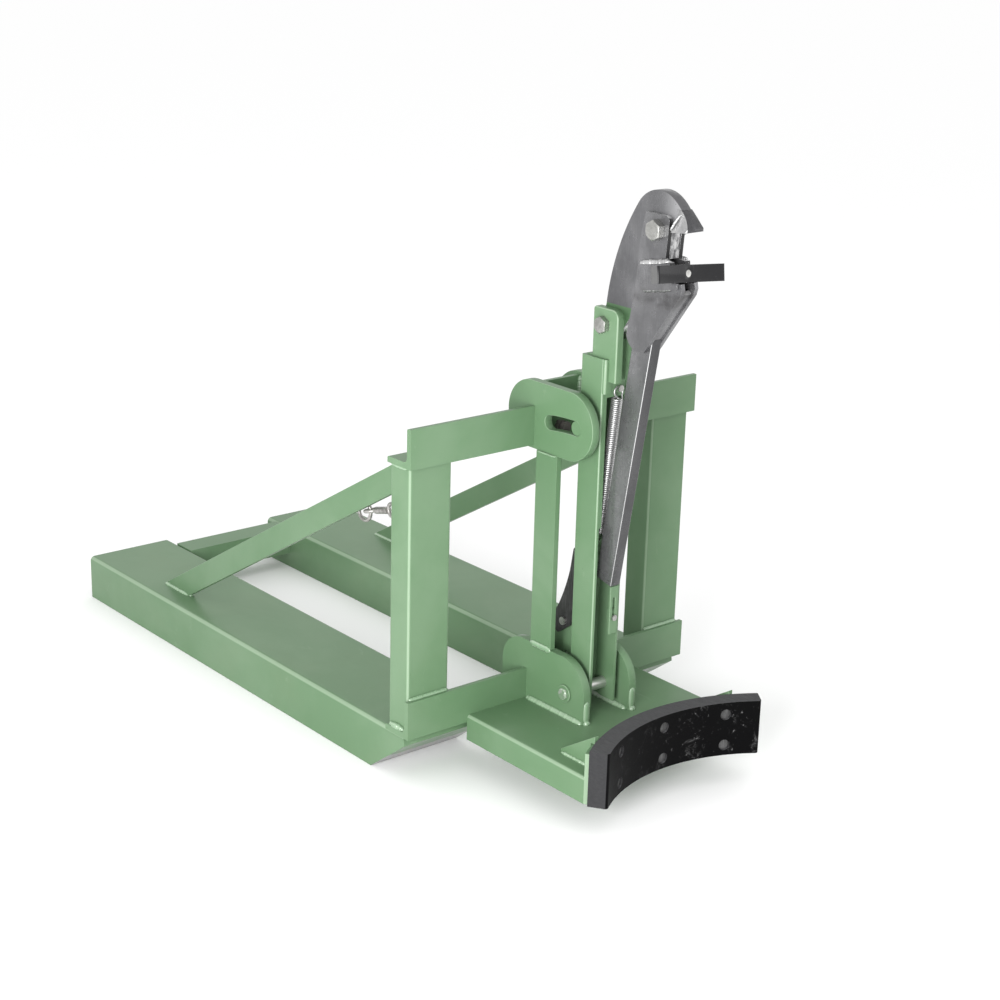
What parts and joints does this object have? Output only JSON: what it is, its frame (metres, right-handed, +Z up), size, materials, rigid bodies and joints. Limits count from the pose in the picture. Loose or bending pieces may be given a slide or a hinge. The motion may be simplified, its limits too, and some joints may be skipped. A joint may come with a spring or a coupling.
{
  "type": "drum lifter",
  "caption": "Fork-mounted lifter for steel drums: fork sleeves, a braced frame, a telescopic mast with a beak and jaw that grip the rim, and a curved belly pad.",
  "frame": {"origin": "middle of the footprint's bounding box, at floor level", "axes": "+X across the forks to the right, +Y back to the truck along the fork sleeves, +Z up"},
  "size_m": [0.612, 1.3884, 0.9755],
  "materials": {
    "green_paint": "semi-gloss reseda green paint",
    "bare_steel": "dull phosphated steel",
    "zinc_steel": "zinc plated",
    "spring_steel": "bright drawn wire",
    "black_enamel": "gloss black",
    "black_rubber": "matt black rubber"
  },
  "bodies": {
    "frame": {"left_fork_sleeve": "green_paint", "right_fork_sleeve": "green_paint", "rear_cross_member": "green_paint", "upper_bar_left": "green_paint", "upper_bar_right": "green_paint", "lower_bar_left": "green_paint", "lower_bar_right": "green_paint", "left_upright": "green_paint", "right_upright": "green_paint", "left_brace": "green_paint", "right_brace": "green_paint", "left_guide_plate": "green_paint", "right_guide_plate": "green_paint", "left_ear_plate": "green_paint", "right_ear_plate": "green_paint", "rear_flats": "green_paint", "guide_tie": "green_paint", "base_block": "green_paint", "backing_plate": "green_paint", "belly_pad": "black_rubber", "pad_bolts": "zinc_steel", "pad_nuts": "zinc_steel", "backing_gussets": "green_paint", "hinge_pin": "green_paint", "hinge_pin_ring": "zinc_steel", "hinge_spacers": "green_paint", "lock_plate": "green_paint", "lock_tie": "green_paint", "hook_staples": "green_paint", "hook_ring": "zinc_steel", "snap_hook": "zinc_steel"},
    "mast": {"mast_channel": "green_paint", "mast_bush": "green_paint", "guide_pins": "green_paint", "guide_lips": "green_paint", "spring_anchor": "green_paint", "lift_spring": "spring_steel", "tilt_lug": "green_paint", "clamp_screw": "zinc_steel", "stop_block": "green_paint", "stop_plate": "green_paint", "stop_screw": "zinc_steel"},
    "slider": {"mast_slider": "green_paint", "head_bolt": "zinc_steel", "head_nut": "zinc_steel", "spring_screw": "zinc_steel"},
    "beak": {"beak_plate": "bare_steel", "beak_toe": "bare_steel", "jaw_bolt": "zinc_steel", "jaw_nut": "zinc_steel"},
    "jaw_lever": {"lever_left_plate": "bare_steel", "lever_right_plate": "bare_steel", "lever_web": "bare_steel", "counter_bar": "bare_steel", "jaw_bar": "black_enamel", "jaw_block": "bare_steel", "jaw_screw": "zinc_steel", "jaw_cheeks": "bare_steel"},
    "hand_lever": {"clamp_lever": "black_enamel"},
    "hook_gate": {"snap_gate": "zinc_steel"}
  },
  "joints": [
    {"name": "mast_tilt", "type": "hinge", "parent": "frame", "child": "mast", "pos_m": [0, -0.46976, 0.14], "axis": [-1, 0, 0], "range_deg": [0, 7.8]},
    {"name": "mast_slide", "type": "slide", "parent": "mast", "child": "slider", "axis": [0, 0, 1], "range_m": [0, 0.1], "stiffness_N_per_m": 300, "springref_m": -0.02, "deforming": ["lift_spring"]},
    {"name": "beak_tilt", "type": "hinge", "parent": "slider", "child": "beak", "pos_m": [0, -0.48776, 0.756], "axis": [-1, 0, 0], "range_deg": [0, 20]},
    {"name": "jaw_swing", "type": "hinge", "parent": "beak", "child": "jaw_lever", "pos_m": [0, -0.58876, 0.918], "axis": [-1, 0, 0], "range_deg": [0, 18]},
    {"name": "clamp_turn", "type": "hinge", "parent": "mast", "child": "hand_lever", "pos_m": [0, -0.40776, 0.237], "axis": [-1, 0, 0], "range_deg": [0, 70]},
    {"name": "gate_open", "type": "hinge", "parent": "frame", "child": "hook_gate", "pos_m": [-0.2395, -0.23794, 0.43864], "axis": [1, 0, 0], "range_deg": [0, 14], "stiffness_Nm_per_rad": 0.05, "springref_deg": -11.46}
  ]
}
